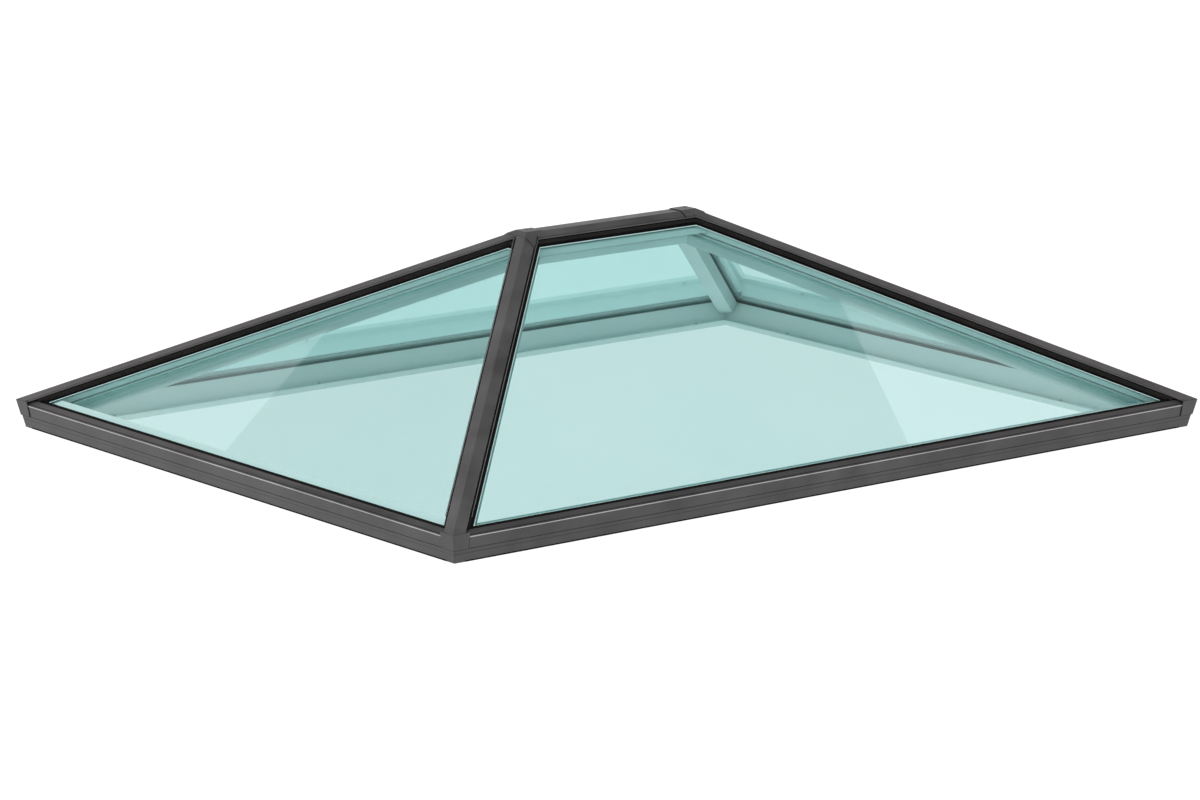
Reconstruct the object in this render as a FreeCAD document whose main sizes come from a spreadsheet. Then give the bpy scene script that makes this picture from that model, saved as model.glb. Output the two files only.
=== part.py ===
"""Roof lantern: a hipped glass roof light in aluminium bars, standing on a flat kerb.

The frame is in millimetres: X runs along the ridge, Y across it and Z up.  The origin is at the middle of
the underside.  Four mitred ring beams carry four hip rafters and a ridge beam.  Four sealed glass units lie
on them, held down by eaves caps, hip caps and a ridge cap over black gaskets.
"""
import FreeCAD, Part
import os
import Sketcher

# Driving sizes, in millimetres and degrees.
SIZES = {
    "base_length": 2550,       # outside of the ring beams along X, at the underside
    "base_width": 2000,        # the same along Y
    "pitch": 27,               # slope of all four panes
    "face_lean": 11.8,         # outward lean of the outer faces, from upright
    "glass_datum": 65,         # height of the outer glass surface over the outer bottom edge
    "band_height": 35,         # joint between ring beam and eaves cap
    "ring_depth": 120,         # ring beam, outer bottom edge to the inside of its toe
    "ring_shelf": 80,          # inner edge of the sloping shelf under the glass
    "ring_face_foot": 98,      # foot of the inner face, where it meets the toe
    "toe_height": 16,
    "nib_width": 2,            # inner side of the upstand under the eaves cap
    "wall": 3,                 # walls of the extruded bars
    "sheet": 6,                # one sheet of glass
    "cavity": 16,              # gap between the two sheets
    "seat": 6,                 # gasket under the glass
    "glass_lip": 3,            # glass edge beyond the outer bottom edge, under the eaves cap
    "hip_gap": 18,             # glass edge from the hip line, in plan
    "ridge_gap": 20,           # glass edge from the ridge line, in plan
    "apex_gap": 36,            # blunt top of an end pane, below the ridge end
    "spacer_inset": 3,
    "spacer_width": 14,
    "seat_inset": 2,
    "seat_width": 18,
    "eaves_gasket": 5,         # gasket under the eaves caps
    "eaves_gasket_edge": 24,   # its visible inner edge
    "cap_gasket": 14,          # ribbed gasket under the hip and ridge caps
    "hip_gasket_edge": 26,
    "ridge_gasket_edge": 42,
    "apex_gasket_edge": 50,
    "strip_start": 14,         # where the tall gaskets start, clear of the eaves cap
    "eaves_cap_edge": 10,      # inner edge of the eaves cap
    "eaves_round": 3,          # worn-off top edge of the eaves cap
    "hip_cap_half": 27,
    "hip_cap_land": 19,        # inner edge of the strip that bears on the gasket
    "cap_edge": 7,             # upright edge of the hip and ridge caps
    "ridge_cap_half": 43,
    "ridge_crest_half": 22,
    "cover": 2.5,              # plate of the corner covers and ridge end covers
    "corner_leg": 36,          # leg of a corner cover along each side
    "end_cover_out": 40,       # reach of a ridge end cover past the ridge end
    "end_cover_in": 30,        # and back along the ridge
    "hood_gap": 1.2,           # end covers over the gaskets
    "rafter_half": 34,
    "rafter_edge": 6,
    "rafter_foot_half": 22,
    "rafter_depth": 80,        # underside of the rafters below the hip line
    "fixing_radius": 3.25,
    "fixing_inset": 109,       # fixing holes from the outer bottom edge
    "long_fixing_outer": 1050, # fixing holes on the long sides, from the middle
    "long_fixing_inner": 350,
    "end_fixing": 600,         # fixing holes on the ends, from the middle
    "saw_reach": 60,           # reach of saw cuts beyond the bars that they cut
}

doc = FreeCAD.newDocument("roof_lantern")
sheet = doc.addObject("Spreadsheet::Sheet", "Sizes")
for row, (alias, value) in enumerate(SIZES.items(), start=1):
    sheet.set(f"A{row}", alias)
    sheet.set(f"B{row}", str(value))
    sheet.setAlias(f"B{row}", alias)
doc.recompute()

# Expressions that several pieces share.
HALF_LENGTH = "(Sizes.base_length / 2)"
HALF_WIDTH = "(Sizes.base_width / 2)"
HALF_RIDGE = "((Sizes.base_length - Sizes.base_width) / 2)"
RISE = "tan(Sizes.pitch)"
COS_PITCH = "cos(Sizes.pitch)"
SIN_PITCH = "sin(Sizes.pitch)"
LEAN = "tan(Sizes.face_lean)"
HIP_SLOPE = "atan(tan(Sizes.pitch) / sqrt(2))"
HIP_RISE = "(tan(Sizes.pitch) / sqrt(2))"
SIN_HIP = f"sin({HIP_SLOPE})"
COS_HIP = f"cos({HIP_SLOPE})"
COS_FOLD = f"(1 / sqrt(1 + {SIN_HIP}^2))"
UNIT = "(2 * Sizes.sheet + Sizes.cavity)"
SHELF = f"({UNIT} + Sizes.seat)"
APEX = f"(Sizes.glass_datum + {HALF_WIDTH} * {RISE})"
EAVES_BUILD = "(Sizes.eaves_gasket + Sizes.wall)"
RIDGE_CREST = (f"({APEX} - Sizes.ridge_crest_half * {RISE}"
               f" + (Sizes.cap_gasket + Sizes.cap_edge * {COS_PITCH}) / {COS_PITCH})")


def plane(body, role):
    """The body's own origin plane of that role."""
    return next(feature for feature in body.Origin.OriginFeatures if feature.Role == role)


def new_body(label, turn, x="0", y="0", z="0"):
    """A body turned about Z by a fixed angle, with its origin at x, y, z."""
    body = doc.addObject("PartDesign::Body", label)
    body.Label = label
    body.Placement = FreeCAD.Placement(FreeCAD.Vector(), FreeCAD.Rotation(FreeCAD.Vector(0, 0, 1), turn))
    for axis, place in zip("xyz", (x, y, z)):
        body.setExpression(f"Placement.Base.{axis}", place)
    return body


def new_sketch(body, name, role, place=None):
    """An empty sketch on one of the body's planes, shifted and tilted by the placement expression."""
    sketch = body.newObject("Sketcher::SketchObject", f"{body.Name}_{name}")
    sketch.AttachmentSupport = [(plane(body, role), "")]
    sketch.MapMode = "FlatFace"
    if place:
        sketch.setExpression("AttachmentOffset", place)
    return sketch


def number(sketch, expression):
    """The present value of an expression."""
    value = sketch.evalExpression(expression)
    return float(getattr(value, "Value", value))


def pin_point(sketch, geometry, end, point):
    """Fix a point of the sketch at x, y, both bound to expressions."""
    for kind, expression in zip(("DistanceX", "DistanceY"), point):
        constraint = Sketcher.Constraint(kind, geometry, end, number(sketch, expression))
        index = sketch.addConstraint(constraint)
        sketch.setExpression(f"Constraints[{index}]", expression)


def add_polygon(sketch, points):
    """A closed outline with every corner bound to its expressions."""
    corners = [FreeCAD.Vector(number(sketch, x), number(sketch, y), 0) for x, y in points]
    first = sketch.GeometryCount
    count = len(points)
    for index in range(count):
        sketch.addGeometry(Part.LineSegment(corners[index], corners[(index + 1) % count]), False)
    for index in range(count):
        after = (index + 1) % count
        sketch.addConstraint(Sketcher.Constraint("Coincident", first + index, 2, first + after, 1))
    for index, point in enumerate(points):
        pin_point(sketch, first + index, 1, point)


def add_circle(sketch, x, y, radius):
    """A circle bound to its centre and radius expressions."""
    centre = FreeCAD.Vector(number(sketch, x), number(sketch, y), 0)
    circle = Part.Circle(centre, FreeCAD.Vector(0, 0, 1), number(sketch, radius))
    index = sketch.addGeometry(circle, False)
    constraint = sketch.addConstraint(Sketcher.Constraint("Radius", index, number(sketch, radius)))
    sketch.setExpression(f"Constraints[{constraint}]", radius)
    pin_point(sketch, index, 3, (x, y))


def pad(sketch, length, both_ways=False):
    """Extrude a sketch along its normal, or half each way."""
    body = sketch.getParentGeoFeatureGroup()
    feature = body.newObject("PartDesign::Pad", f"{sketch.Name}_pad")
    feature.Profile = sketch
    feature.setExpression("Length", length)
    feature.SideType = "Symmetric" if both_ways else "One side"
    return feature


def saw(sketch):
    """Cut right through the body, both ways from the sketch."""
    body = sketch.getParentGeoFeatureGroup()
    doc.recompute()
    before = body.Shape.Volume
    feature = body.newObject("PartDesign::Pocket", f"{sketch.Name}_cut")
    feature.Profile = sketch
    feature.Type = "ThroughAll"
    feature.SideType = "Symmetric"
    doc.recompute()
    if body.Shape.Volume >= before:
        raise RuntimeError(f"{feature.Name} cuts nothing")
    return feature


def mirrored(points):
    """The points and their mirror images in the second coordinate's axis, as one closed outline."""
    return points + [(f"-({x})", y) for x, y in reversed(points)]


def glass_height(inset, below="0"):
    """Height at an inset from the outer bottom edge, on a plane square below the outer glass surface."""
    return f"(Sizes.glass_datum + ({inset}) * {RISE} - ({below}) / {COS_PITCH})"


def face_corner(wall, above):
    """Where the outer face, moved in by a wall, meets the plane square above the glass."""
    height = (f"((Sizes.glass_datum + ({above}) / {COS_PITCH} + ({wall}) * {RISE})"
              f" / (1 + {LEAN} * {RISE}))")
    return f"(({wall}) - {height} * {LEAN})", height


SIDES = {
    "front": (0, HALF_LENGTH, "0", f"-{HALF_WIDTH}"),
    "right": (90, HALF_WIDTH, HALF_LENGTH, "0"),
    "back": (180, HALF_LENGTH, "0", HALF_WIDTH),
    "left": (270, HALF_WIDTH, f"-{HALF_LENGTH}", "0"),
}
CORNERS = {
    "front_left": (45, 1, f"-{HALF_LENGTH}", f"-{HALF_WIDTH}"),
    "front_right": (135, -1, HALF_LENGTH, f"-{HALF_WIDTH}"),
    "back_right": (225, 1, HALF_LENGTH, HALF_WIDTH),
    "back_left": (315, -1, f"-{HALF_LENGTH}", HALF_WIDTH),
}


def side_body(kind, side):
    """A body for one side: its X runs along the outer bottom edge, its Y points inwards."""
    turn, _, x, y = SIDES[side]
    return new_body(f"{kind}_{side}", turn, x, y)


def corner_body(kind, corner):
    """A body for one corner: its X runs inwards under the hip, in plan."""
    turn, _, x, y = CORNERS[corner]
    return new_body(f"{kind}_{corner}", turn, x, y)


def mitre(body, side, depth):
    """Saw both ends of a side's bar along the vertical planes of the hips."""
    half = SIDES[side][1]
    sketch = new_sketch(body, "mitre", "XY_Plane")
    out = f"({half} + Sizes.saw_reach)"
    tip = f"({half} - ({depth}))"
    right = [(out, "-Sizes.saw_reach"), (out, depth), (tip, depth)]
    add_polygon(sketch, right)
    add_polygon(sketch, [(f"-{x}", y) for x, y in right])
    saw(sketch)


def side_bar(kind, side, outlines, depth):
    """A mitred bar along one side, with the given outlines as its section."""
    body = side_body(kind, side)
    sketch = new_sketch(body, "section", "YZ_Plane")
    for outline in outlines:
        add_polygon(sketch, outline)
    pad(sketch, f"2 * ({SIDES[side][1]} + Sizes.saw_reach / 2)", both_ways=True)
    mitre(body, side, depth)
    return body


def ring_beam(side):
    """Hollow beam on the kerb: leaning outer face, shelf for the glass, inner face and toe."""
    band = "Sizes.band_height"
    outer = [
        ("0", "0"),
        (f"-{band} * {LEAN}", band),
        ("Sizes.nib_width", band),
        ("Sizes.nib_width", glass_height("Sizes.nib_width", SHELF)),
        ("Sizes.ring_shelf", glass_height("Sizes.ring_shelf", SHELF)),
        ("Sizes.ring_face_foot", "Sizes.toe_height"),
        ("Sizes.ring_depth", "Sizes.toe_height"),
        ("Sizes.ring_depth", "0"),
    ]
    near = "(Sizes.nib_width + Sizes.wall)"
    far = "(Sizes.ring_shelf - Sizes.wall)"
    roof = f"({SHELF} + Sizes.wall)"
    chamber = [
        (near, "Sizes.wall"),
        (near, glass_height(near, roof)),
        (far, glass_height(far, roof)),
        ("(Sizes.ring_face_foot - Sizes.wall)", "Sizes.wall"),
    ]
    body = side_bar("ring_beam", side, [outer, chamber], "(Sizes.ring_depth + Sizes.saw_reach)")
    holes = new_sketch(body, "fixings", "XY_Plane")
    long_side = side in ("front", "back")
    offsets = ["Sizes.long_fixing_outer", "Sizes.long_fixing_inner"] if long_side else ["Sizes.end_fixing"]
    for offset in offsets:
        for sign in ("", "-"):
            add_circle(holes, f"{sign}{offset}", "Sizes.fixing_inset", "Sizes.fixing_radius")
    saw(holes)


def eaves_cap(side):
    """Bent cap over the glass edge: a leaning outer leg and a top in line with the pane."""
    band = "Sizes.band_height"
    wall = "Sizes.wall"
    top = EAVES_BUILD
    edge = "Sizes.eaves_cap_edge"
    corner_s, corner_z = face_corner("0", top)
    inner_s, inner_z = face_corner(wall, "Sizes.eaves_gasket")
    outline = [
        (f"-{band} * {LEAN}", band),
        (f"{corner_s} + Sizes.eaves_round * sin(Sizes.face_lean)",
         f"{corner_z} - Sizes.eaves_round * cos(Sizes.face_lean)"),
        (f"{corner_s} + Sizes.eaves_round * {COS_PITCH}", f"{corner_z} + Sizes.eaves_round * {SIN_PITCH}"),
        (edge, glass_height(edge, f"-{top}")),
        (edge, glass_height(edge, "-Sizes.eaves_gasket")),
        (inner_s, inner_z),
        (f"{wall} - {band} * {LEAN}", band),
    ]
    side_bar("eaves_cap", side, [outline], "Sizes.saw_reach")


def pane_plane(below):
    """Placement of a plane in line with a side's pane, square below its outer surface."""
    shift = f"vector(0; ({below}) * {SIN_PITCH}; Sizes.glass_datum - ({below}) * {COS_PITCH})"
    return f"placement({shift}; rotation(vector(1; 0; 0); Sizes.pitch))"


def pane_outline(side, eaves, hip_gap, top_gap, inset="0"):
    """Corners on the pane's plane, from the eaves inset, the gaps to hip and ridge, and an even inset."""
    half = SIDES[side][1]
    low = f"(({eaves}) / {COS_PITCH} + ({inset}))"
    high = f"(({HALF_WIDTH} - ({top_gap})) / {COS_PITCH} - ({inset}))"
    side_inset = f"(({hip_gap}) * sqrt(2) + ({inset}) * sqrt(1 + {COS_PITCH}^2))"
    low_half = f"({half} - {low} * {COS_PITCH} - {side_inset})"
    high_half = f"({half} - {high} * {COS_PITCH} - {side_inset})"
    return [(low_half, low), (high_half, high), (f"-{high_half}", high), (f"-{low_half}", low)]


def glass_outline(side, inset="0"):
    """Outline of a sealed unit on one side, drawn in by an even inset."""
    long_side = side in ("front", "back")
    top_gap = "Sizes.ridge_gap" if long_side else "Sizes.apex_gap"
    return pane_outline(side, "-Sizes.glass_lip", "Sizes.hip_gap", top_gap, inset)


def pane_layer(kind, side, outlines, below, thickness):
    """One layer of a pane: the outlines padded up from a plane below the outer surface."""
    body = side_body(kind, side)
    sketch = new_sketch(body, "outline", "XY_Plane", pane_plane(below))
    for outline in outlines:
        add_polygon(sketch, outline)
    pad(sketch, thickness)
    return body


def sealed_unit(side):
    """Two sheets of glass with a spacer bar between them, on a seat gasket."""
    full = glass_outline(side)
    pane_layer("outer_glass", side, [full], "Sizes.sheet", "Sizes.sheet")
    pane_layer("inner_glass", side, [full], UNIT, "Sizes.sheet")
    spacer_inner = glass_outline(side, "Sizes.spacer_inset + Sizes.spacer_width")
    spacer_rings = [glass_outline(side, "Sizes.spacer_inset"), spacer_inner]
    pane_layer("spacer_bar", side, spacer_rings, "Sizes.sheet + Sizes.cavity", "Sizes.cavity")
    seat_inner = glass_outline(side, "Sizes.seat_inset + Sizes.seat_width")
    seat_rings = [glass_outline(side, "Sizes.seat_inset"), seat_inner]
    pane_layer("seat_gasket", side, seat_rings, SHELF, "Sizes.seat")


def weather_gasket(side):
    """Flat gasket round the pane, with tall ribs up the hips and along the top under the caps."""
    long_side = side in ("front", "back")
    edge = "Sizes.ridge_gasket_edge" if long_side else "Sizes.apex_gasket_edge"
    top_gap = "Sizes.ridge_gap" if long_side else "Sizes.apex_gap"
    inner = pane_outline(side, "Sizes.eaves_gasket_edge", "Sizes.hip_gasket_edge", edge)
    body = pane_layer("weather_gasket", side, [glass_outline(side), inner], "0", "Sizes.eaves_gasket")
    start = "Sizes.strip_start"
    outside = pane_outline(side, start, "Sizes.hip_gap", top_gap)
    inside = pane_outline(side, start, "Sizes.hip_gasket_edge", edge)
    ribs = new_sketch(body, "ribs", "XY_Plane", pane_plane("0"))
    add_polygon(ribs, outside + list(reversed(inside)))
    pad(ribs, "Sizes.cap_gasket")


def hip_plane(x="0", height="Sizes.glass_datum"):
    """Placement of a plane square to a hip line that starts at x and height, from the YZ plane."""
    return f"placement(vector(0; {height}; {x}); rotation(vector(-1; 0; 0); {HIP_SLOPE}))"


def hip_level(across, above="0"):
    """Height in a hip's section of a plane square above the glass, at a distance across."""
    return f"(({above}) / {COS_FOLD} - ({across}) * {SIN_HIP})"


def hip_cap_facets(extra="0"):
    """Half width, edge height and peak height of a hip cap, its facets in line with the panes."""
    half = f"(Sizes.hip_cap_half + ({extra}))"
    peak = f"({hip_level('0', 'Sizes.cap_gasket')} + Sizes.cap_edge + ({extra}) / {COS_FOLD})"
    edge = f"({peak} - {half} * {SIN_HIP})"
    return half, edge, peak


def hip_cap_outline():
    """Section of a hip cap: bearing lands on the gasket, upright edges and two facets to a peak."""
    half, edge, peak = hip_cap_facets()
    land = hip_level(half, "Sizes.cap_gasket")
    bearing = hip_level("Sizes.hip_cap_land", "Sizes.cap_gasket")
    return [
        (half, land),
        (half, edge),
        ("0", peak),
        (f"-{half}", edge),
        (f"-{half}", land),
        ("-Sizes.hip_cap_land", bearing),
        ("0", f"{peak} - Sizes.wall"),
        ("Sizes.hip_cap_land", bearing),
    ]


def lifted(distance):
    """Placement of a plane moved along its own normal."""
    return f"placement(vector(0; 0; {distance}); rotation(vector(0; 0; 1); 0))"


def upright_plane(turn):
    """Placement of an upright plane through the corner, square to one side, from the XZ plane."""
    return f"placement(vector(0; 0; 0); rotation(vector(0; 1; 0); {turn}))"


def cope(body, name, outline):
    """Cut the body to the section of the bars along both sides that meet at its corner."""
    for turn in (45, -45):
        sketch = new_sketch(body, f"{name}_{'a' if turn > 0 else 'b'}", "XZ_Plane", upright_plane(turn))
        add_polygon(sketch, outline)
        saw(sketch)


HIP_RUN = f"({HALF_WIDTH} * sqrt(2))"
HIP_LENGTH = f"(({HIP_RUN} + Sizes.saw_reach) / {COS_HIP})"


def hip_rafter(corner):
    """Hollow rafter under a hip, narrower below, coped on the ring beams and mitred at the top."""
    body = corner_body("hip_rafter", corner)
    across = CORNERS[corner][1]
    half = "Sizes.rafter_half"
    shoulder = hip_level(half, f"-{SHELF}")
    foot = "Sizes.rafter_foot_half"
    sketch = new_sketch(body, "section", "YZ_Plane", hip_plane())
    outer = mirrored([
        (foot, "-Sizes.rafter_depth"),
        (half, f"{shoulder} - Sizes.rafter_edge"),
        (half, shoulder),
    ])
    outer.insert(3, ("0", hip_level("0", f"-{SHELF}")))
    add_polygon(sketch, outer)
    inner_half = "(Sizes.rafter_half - 2 * Sizes.wall)"
    inner_foot = "(Sizes.rafter_foot_half - Sizes.wall)"
    roof = f"-({SHELF} + Sizes.wall)"
    chamber = mirrored([
        (inner_foot, "Sizes.wall - Sizes.rafter_depth"),
        (inner_half, hip_level(inner_half, roof)),
    ])
    chamber.insert(2, ("0", hip_level("0", roof)))
    add_polygon(sketch, chamber)
    pad(sketch, HIP_LENGTH)
    face_top = glass_height("Sizes.ring_shelf", SHELF)
    reach = "Sizes.saw_reach * 2"
    cope(body, "foot", [
        (f"-{reach}", f"-{reach}"),
        ("Sizes.ring_face_foot", f"-{reach}"),
        ("Sizes.ring_face_foot", "Sizes.toe_height"),
        ("Sizes.ring_shelf", face_top),
        ("Sizes.ring_shelf", f"{face_top} + {reach}"),
        (f"-{reach}", f"{face_top} + {reach}"),
    ])
    mitres = new_sketch(body, "mitres", "XY_Plane")
    tail = f"(tan(22.5) * {reach})"
    add_polygon(mitres, [
        (HIP_RUN, "0"),
        (f"{HIP_RUN} - {reach}", f"{across} * {reach}"),
        (f"{HIP_RUN} + {reach}", f"{across} * {reach}"),
        (f"{HIP_RUN} + {reach}", f"-({across}) * {reach}"),
        (f"{HIP_RUN} - {tail}", f"-({across}) * {reach}"),
    ])
    saw(mitres)


def hip_cap(corner):
    """Folded cap over a hip, cut to the leaning faces at its foot and mitred with its twin at the top."""
    body = corner_body("hip_cap", corner)
    across = CORNERS[corner][1]
    reach = "(2 * Sizes.saw_reach)"
    start = hip_plane(x=f"-{reach}", height=f"Sizes.glass_datum - {reach} * {HIP_RISE}")
    sketch = new_sketch(body, "section", "YZ_Plane", start)
    add_polygon(sketch, hip_cap_outline())
    pad(sketch, f"{HIP_LENGTH} + {reach}")
    cope(body, "foot", [
        (f"-{reach} * {LEAN}", reach),
        (f"{reach} * {LEAN}", f"-{reach}"),
        (f"-2 * {reach}", f"-{reach}"),
        (f"-2 * {reach}", reach),
    ])
    top = new_sketch(body, "top", "XZ_Plane")
    add_polygon(top, [
        (f"{HIP_RUN} - 2 * {reach}", RIDGE_CREST),
        (f"{HIP_RUN} + 2 * {reach}", RIDGE_CREST),
        (f"{HIP_RUN} + 2 * {reach}", f"{RIDGE_CREST} + {reach}"),
        (f"{HIP_RUN} - 2 * {reach}", f"{RIDGE_CREST} + {reach}"),
    ])
    saw(top)
    notch = "(0.5 * Sizes.end_cover_out / sqrt(2))"
    mitres = new_sketch(body, "mitres", "XY_Plane")
    add_polygon(mitres, [
        (f"{HIP_RUN} - {notch}", f"{across} * {notch}"),
        (f"{HIP_RUN} - {notch} - {reach}", f"{across} * ({notch} + {reach})"),
        (f"{HIP_RUN} + 2 * {reach}", f"{across} * ({notch} + {reach})"),
        (f"{HIP_RUN} + 2 * {reach}", f"{across} * ({notch} - {reach})"),
        (f"{HIP_RUN} - {notch} - {reach}", f"{across} * ({notch} - {reach})"),
    ])
    saw(mitres)


def corner_cover(corner):
    """Folded plate over the corner of the eaves caps, closing the foot of the hip cap."""
    body = corner_body("corner_cover", corner)
    top = "(2 * Sizes.saw_reach)"
    levels = []
    for name, height in (("low", "Sizes.band_height"), ("high", top)):
        sketch = new_sketch(body, name, "XY_Plane", lifted(height))
        inner = f"(-{height} * {LEAN})"
        outer = f"({inner} - Sizes.cover)"
        leg = "Sizes.corner_leg"
        right = [
            (f"({leg} + {outer}) / sqrt(2)", f"({outer} - {leg}) / sqrt(2)"),
            (f"({leg} + {inner}) / sqrt(2)", f"({inner} - {leg}) / sqrt(2)"),
        ]
        left = [(x, f"-({y})") for x, y in reversed(right)]
        add_polygon(sketch, [(f"{outer} * sqrt(2)", "0")] + right + [(f"{inner} * sqrt(2)", "0")] + left)
        levels.append(sketch)
    loft = body.newObject("PartDesign::AdditiveLoft", f"{body.Name}_loft")
    loft.Profile = levels[0]
    loft.Sections = [levels[1]]
    loft.Ruled = True
    peak = hip_cap_facets()[2]
    trim = new_sketch(body, "trim", "YZ_Plane", hip_plane())
    wide = "(2 * Sizes.saw_reach)"
    add_polygon(trim, [
        ("0", peak),
        (wide, f"{peak} - {wide} * {SIN_HIP}"),
        (wide, f"{peak} + 2 * {wide}"),
        (f"-{wide}", f"{peak} + 2 * {wide}"),
        (f"-{wide}", f"{peak} - {wide} * {SIN_HIP}"),
    ])
    saw(trim)


def ridge_level(across, above="0"):
    """Height over the ridge line's section of a plane square above the panes."""
    return f"({APEX} - ({across}) * {RISE} + ({above}) / {COS_PITCH})"


def ridge_bar(label, outlines, end, lean_back):
    """A bar along the ridge, with pointed or square ends."""
    body = new_body(label, 0)
    sketch = new_sketch(body, "section", "YZ_Plane")
    for outline in outlines:
        add_polygon(sketch, outline)
    pad(sketch, f"2 * {end}", both_ways=True)
    if lean_back:
        reach = "Sizes.saw_reach"
        points = new_sketch(body, "points", "XY_Plane")
        for sign in ("", "-"):
            for side in ("", "-"):
                add_polygon(points, [
                    (f"{sign}{end}", "0"),
                    (f"{sign}({end} + {reach})", "0"),
                    (f"{sign}({end} + {reach})", f"{side}{reach}"),
                    (f"{sign}({end} - tan(22.5) * {reach})", f"{side}{reach}"),
                ])
        saw(points)
    return body


def ridge_beam():
    """Hollow beam under the ridge, of the rafters' section, mitred to them."""
    half = "Sizes.rafter_half"
    underside = f"({APEX} - Sizes.rafter_depth / {COS_HIP})"
    shoulder = ridge_level(half, f"-{SHELF}")
    outer = mirrored([
        ("Sizes.rafter_foot_half", underside),
        (half, f"{shoulder} - Sizes.rafter_edge"),
        (half, shoulder),
    ])
    outer.insert(3, ("0", ridge_level("0", f"-{SHELF}")))
    inner_half = "(Sizes.rafter_half - 2 * Sizes.wall)"
    roof = f"-({SHELF} + Sizes.wall)"
    chamber = mirrored([
        ("(Sizes.rafter_foot_half - Sizes.wall)", f"{underside} + Sizes.wall"),
        (inner_half, ridge_level(inner_half, roof)),
    ])
    chamber.insert(2, ("0", ridge_level("0", roof)))
    ridge_bar("ridge_beam", [outer, chamber], HALF_RIDGE, lean_back=True)


def ridge_cap_edges(extra="0"):
    """Half width, edge height, crest half width and crest height of the ridge cap, grown by a plate."""
    half = f"(Sizes.ridge_cap_half + ({extra}))"
    grown = f"(Sizes.cap_gasket + Sizes.cap_edge * {COS_PITCH} + ({extra}))"
    crest = f"({RIDGE_CREST} + ({extra}))"
    crest_half = f"(({APEX} + {grown} / {COS_PITCH} - {crest}) / {RISE})"
    return half, ridge_level(half, grown), crest_half, crest


def ridge_cap():
    """Plate over the ridge: flat crest, two facets in line with the panes, resting on the gaskets."""
    half, edge, crest_half, crest = ridge_cap_edges()
    land = ridge_level(half, "Sizes.cap_gasket")
    outline = mirrored([
        (half, land),
        (half, edge),
        (crest_half, crest),
    ]) + mirrored([(crest_half, ridge_level(crest_half, "Sizes.cap_gasket"))])[::-1]
    ridge_bar("ridge_cap", [outline], f"({HALF_RIDGE} - 0.8 * Sizes.end_cover_in)", lean_back=False)


def end_cover_core(label, turn, extra, below, reach_out, reach_in):
    """Solid over one ridge end: the ridge cap's and two hip caps' forms, grown by a plate, cut level."""
    body = new_body(label, turn)
    half, edge, crest_half, crest = ridge_cap_edges(extra)
    start = f"({HALF_RIDGE} - ({reach_in}))"
    ridge = new_sketch(body, "ridge", "YZ_Plane", lifted(start))
    land = ridge_level(half, f"Sizes.cap_gasket - ({below})")
    add_polygon(ridge, mirrored([(half, land), (half, edge), (crest_half, crest)]))
    pad(ridge, reach_in)
    hip_half, hip_edge, peak = hip_cap_facets(extra)
    hip_land = hip_level(hip_half, f"Sizes.cap_gasket - ({below})")
    run = "(3 * Sizes.saw_reach)"
    for name, way in (("a", 1), ("b", -1)):
        foot = f"vector({way} * {run}; {APEX} - {run} * sqrt(2) * {HIP_RISE}; {HALF_RIDGE} + {run})"
        aim = f"rotation(vector(0; 1; 0); {180 + 45 * way}) * rotation(vector(-1; 0; 0); {HIP_SLOPE})"
        hip = new_sketch(body, f"hip_{name}", "YZ_Plane", f"placement({foot}; {aim})")
        add_polygon(hip, [
            (hip_half, hip_land),
            (hip_half, hip_edge),
            ("0", peak),
            (f"-{hip_half}", hip_edge),
            (f"-{hip_half}", hip_land),
        ])
        pad(hip, f"{run} * sqrt(2) / {COS_HIP}")
    trim = new_sketch(body, "trim", "XZ_Plane")
    far = f"({HALF_RIDGE} + 2 * {run})"
    high = f"({crest} + {run})"
    near = f"({HALF_RIDGE} - 2 * {run})"
    add_polygon(trim, [(near, crest), (far, crest), (far, high), (near, high)])
    saw(trim)
    ends = new_sketch(body, "ends", "XZ_Plane")
    out = f"({HALF_RIDGE} + ({reach_out}))"
    low = f"({APEX} - 2 * {run})"
    add_polygon(ends, [(out, low), (far, low), (far, high), (out, high)])
    saw(ends)
    return body


def end_cover(side, turn):
    """Faceted plate hood over one ridge end, open below."""
    outside = end_cover_core(f"hood_outside_{side}", turn, "Sizes.cover", "-Sizes.hood_gap",
                             "Sizes.end_cover_out", "Sizes.end_cover_in")
    inside = end_cover_core(f"hood_inside_{side}", turn, "0", "Sizes.saw_reach",
                            "Sizes.end_cover_out + Sizes.cover", "Sizes.end_cover_in + Sizes.cover")
    hood = doc.addObject("Part::Cut", f"ridge_end_cover_{side}")
    hood.Label = f"ridge_end_cover_{side}"
    hood.Base = outside
    hood.Tool = inside
    return hood


for side in SIDES:
    ring_beam(side)
    eaves_cap(side)
    sealed_unit(side)
    weather_gasket(side)
for corner in CORNERS:
    hip_rafter(corner)
    hip_cap(corner)
    corner_cover(corner)
ridge_beam()
ridge_cap()
for side, turn in (("right", 0), ("left", 180)):
    end_cover(side, turn)
doc.recompute()

# Check every object, then write one file for each piece.
faults = [item.Name for item in doc.Objects if "Invalid" in item.State or "Error" in item.State]
if faults:
    raise RuntimeError(f"objects that failed: {faults}")
pieces = [item for item in doc.Objects
          if item.isDerivedFrom("PartDesign::Body") and not item.Label.startswith("hood_")
          or item.isDerivedFrom("Part::Cut")]
for piece in pieces:
    if piece.Shape.isNull() or not piece.Shape.isValid():
        raise RuntimeError(f"{piece.Label} has no valid shape")
os.makedirs("parts", exist_ok=True)
for piece in pieces:
    piece.Shape.exportStep(f"parts/{piece.Label}.step")
    print(piece.Label, len(piece.Shape.Solids), "solid", round(piece.Shape.Volume / 1000), "cm3")
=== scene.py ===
# %% [markdown]
# Roof lantern: a hipped glass roof in dark powder-coated bars.
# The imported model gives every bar, cap and sheet of glass at its real size. This script gives them their
# finishes, adds the small things that are made by the metre or by the handful (ribs of the gaskets, seals,
# bright arrises, screws), and sets up a pale studio with the camera where the photograph was taken.

# %% Load the fixed model
import math

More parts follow.
